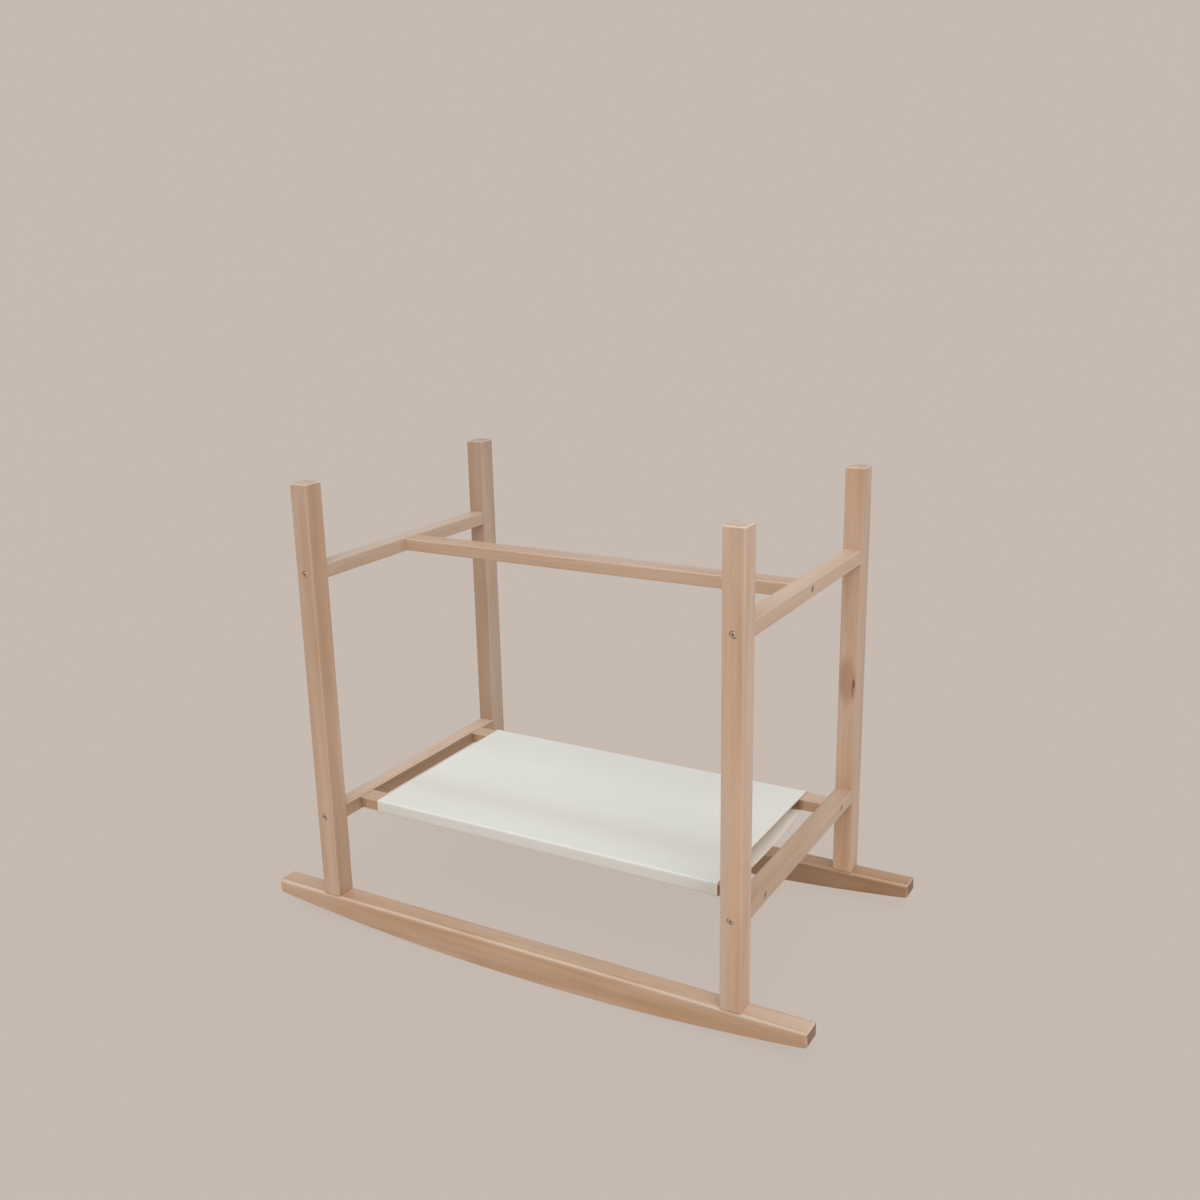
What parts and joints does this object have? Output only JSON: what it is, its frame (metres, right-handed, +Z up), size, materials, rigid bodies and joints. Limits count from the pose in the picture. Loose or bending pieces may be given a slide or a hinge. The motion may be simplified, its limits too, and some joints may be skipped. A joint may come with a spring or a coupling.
{
  "type": "moses basket rocking stand",
  "caption": "Wooden rocking stand for a moses basket, with swept rockers, square posts, an H of rails under the basket and a cloth shelf below.",
  "frame": {"origin": "on the floor, under the middle of the stand, where the rockers rest when it stands level", "axes": "+X along the rockers, the stand's length; +Y from the front rocker to the back one; +Z up"},
  "size_m": [0.792, 0.418, 0.6181],
  "materials": {
    "beech": "pale beech under clear satin lacquer, with fine straight grain",
    "dowel_wood": "raw turned beech",
    "canvas": "off-white plain-woven cotton canvas",
    "fastener_steel": "zinc-plated steel"
  },
  "bodies": {
    "root": {"barrel_nut_long_rail_left": "fastener_steel", "barrel_nut_long_rail_right": "fastener_steel", "barrel_nut_lower_back_left": "fastener_steel", "barrel_nut_lower_back_right": "fastener_steel", "barrel_nut_lower_front_left": "fastener_steel", "barrel_nut_lower_front_right": "fastener_steel", "barrel_nut_top_back_left": "fastener_steel", "barrel_nut_top_back_right": "fastener_steel", "barrel_nut_top_front_left": "fastener_steel", "barrel_nut_top_front_right": "fastener_steel", "bolt_long_rail_left": "fastener_steel", "bolt_long_rail_right": "fastener_steel", "bolt_lower_back_left": "fastener_steel", "bolt_lower_back_right": "fastener_steel", "bolt_lower_front_left": "fastener_steel", "bolt_lower_front_right": "fastener_steel", "bolt_top_back_left": "fastener_steel", "bolt_top_back_right": "fastener_steel", "bolt_top_front_left": "fastener_steel", "bolt_top_front_right": "fastener_steel", "dowel_long_rail_left": "dowel_wood", "dowel_long_rail_right": "dowel_wood", "dowel_lower_back_left": "dowel_wood", "dowel_lower_back_right": "dowel_wood", "dowel_lower_front_left": "dowel_wood", "dowel_lower_front_right": "dowel_wood", "dowel_top_back_left": "dowel_wood", "dowel_top_back_right": "dowel_wood", "dowel_top_front_left": "dowel_wood", "dowel_top_front_right": "dowel_wood", "long_rail": "beech", "lower_rail_left": "beech", "lower_rail_right": "beech", "post_back_left": "beech", "post_back_right": "beech", "post_dowel_back_left_inner": "dowel_wood", "post_dowel_back_left_outer": "dowel_wood", "post_dowel_back_right_inner": "dowel_wood", "post_dowel_back_right_outer": "dowel_wood", "post_dowel_front_left_inner": "dowel_wood", "post_dowel_front_left_outer": "dowel_wood", "post_dowel_front_right_inner": "dowel_wood", "post_dowel_front_right_outer": "dowel_wood", "post_front_left": "beech", "post_front_right": "beech", "rocker_back": "beech", "rocker_front": "beech", "shelf_cover": "canvas", "shelf_slat_back": "beech", "shelf_slat_front": "beech", "slat_screw_back_left": "fastener_steel", "slat_screw_back_right": "fastener_steel", "slat_screw_front_left": "fastener_steel", "slat_screw_front_right": "fastener_steel", "top_rail_left": "beech", "top_rail_right": "beech"}
  },
  "joints": []
}
